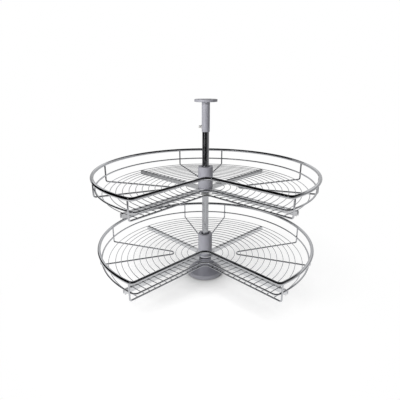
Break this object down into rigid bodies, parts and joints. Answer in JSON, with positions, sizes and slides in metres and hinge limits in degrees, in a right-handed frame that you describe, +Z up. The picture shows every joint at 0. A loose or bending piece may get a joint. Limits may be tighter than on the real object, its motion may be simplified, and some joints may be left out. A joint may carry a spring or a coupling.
{
  "type": "corner carousel",
  "caption": "Corner cabinet carousel: two three-quarter wire baskets that turn on a column with a foot and a telescoping top sleeve.",
  "frame": {"origin": "centre of the column's foot, on the cabinet floor", "axes": "+Z up along the column; the open quarter of the baskets faces -Y; +X is to the right of someone facing the open quarter"},
  "size_m": [0.8199, 0.7595, 0.6755],
  "materials": {
    "chrome_wire": "chrome plate on drawn steel wire",
    "chrome_tube": "chrome plate on steel tube",
    "plated_bar": "chrome plate on folded steel, satin",
    "grey_plastic": "fine moulded texture",
    "white_bearing_plastic": "smooth acetal",
    "dark_bearing_plastic": "smooth acetal",
    "zinc_plated_steel": "bright zinc plate"
  },
  "bodies": {
    "column": {"foot_plate": "zinc_plated_steel", "foot_cover": "grey_plastic", "column_tube": "chrome_tube", "lower_thrust_washer": "dark_bearing_plastic"},
    "lower_basket": {"lower_rim_wire": "chrome_wire", "lower_mid_wire": "chrome_wire", "lower_notch_wire": "chrome_wire", "lower_hairpin_right": "chrome_wire", "lower_hairpin_back": "chrome_wire", "lower_hairpin_left": "chrome_wire", "lower_floor_rings": "chrome_wire", "lower_bar_front_right": "plated_bar", "lower_bar_back_right": "plated_bar", "lower_bar_back_left": "plated_bar", "lower_bar_front_left": "plated_bar", "lower_hub_plate": "plated_bar", "lower_hub": "grey_plastic", "lower_lock_ring": "grey_plastic", "lower_hub_bushes": "white_bearing_plastic"},
    "shelf_collar": {"collar": "zinc_plated_steel", "upper_thrust_washer": "dark_bearing_plastic"},
    "collar_screw": {"collar_screw": "zinc_plated_steel"},
    "upper_basket": {"upper_rim_wire": "chrome_wire", "upper_mid_wire": "chrome_wire", "upper_notch_wire": "chrome_wire", "upper_hairpin_right": "chrome_wire", "upper_hairpin_back": "chrome_wire", "upper_hairpin_left": "chrome_wire", "upper_floor_rings": "chrome_wire", "upper_bar_front_right": "plated_bar", "upper_bar_back_right": "plated_bar", "upper_bar_back_left": "plated_bar", "upper_bar_front_left": "plated_bar", "upper_hub_plate": "plated_bar", "upper_hub": "grey_plastic", "upper_lock_ring": "grey_plastic", "upper_hub_bushes": "white_bearing_plastic"},
    "top_sleeve": {"top_sleeve": "grey_plastic", "clamp_nut": "zinc_plated_steel"},
    "clamp_screw": {"clamp_screw": "zinc_plated_steel"}
  },
  "joints": [
    {"name": "lower_basket_turn", "type": "hinge", "parent": "column", "child": "lower_basket", "pos_m": [0, 0, 0.082], "axis": [0, 0, 1], "continuous": true},
    {"name": "shelf_height", "type": "slide", "parent": "column", "child": "shelf_collar", "axis": [0, 0, 1], "range_m": [-0.08, 0.08]},
    {"name": "collar_screw_turn", "type": "hinge", "parent": "shelf_collar", "child": "collar_screw", "pos_m": [0, 0.0148, 0.33466], "axis": [0, 1, 0], "range_deg": [0, 360]},
    {"name": "upper_basket_turn", "type": "hinge", "parent": "shelf_collar", "child": "upper_basket", "pos_m": [0, 0, 0.356], "axis": [0, 0, 1], "continuous": true},
    {"name": "sleeve_height", "type": "slide", "parent": "column", "child": "top_sleeve", "axis": [0, 0, 1], "range_m": [-0.025, 0.04]},
    {"name": "clamp_screw_turn", "type": "hinge", "parent": "top_sleeve", "child": "clamp_screw", "pos_m": [-0.018, 0, 0.5815], "axis": [-1, 0, 0], "range_deg": [0, 720]}
  ]
}
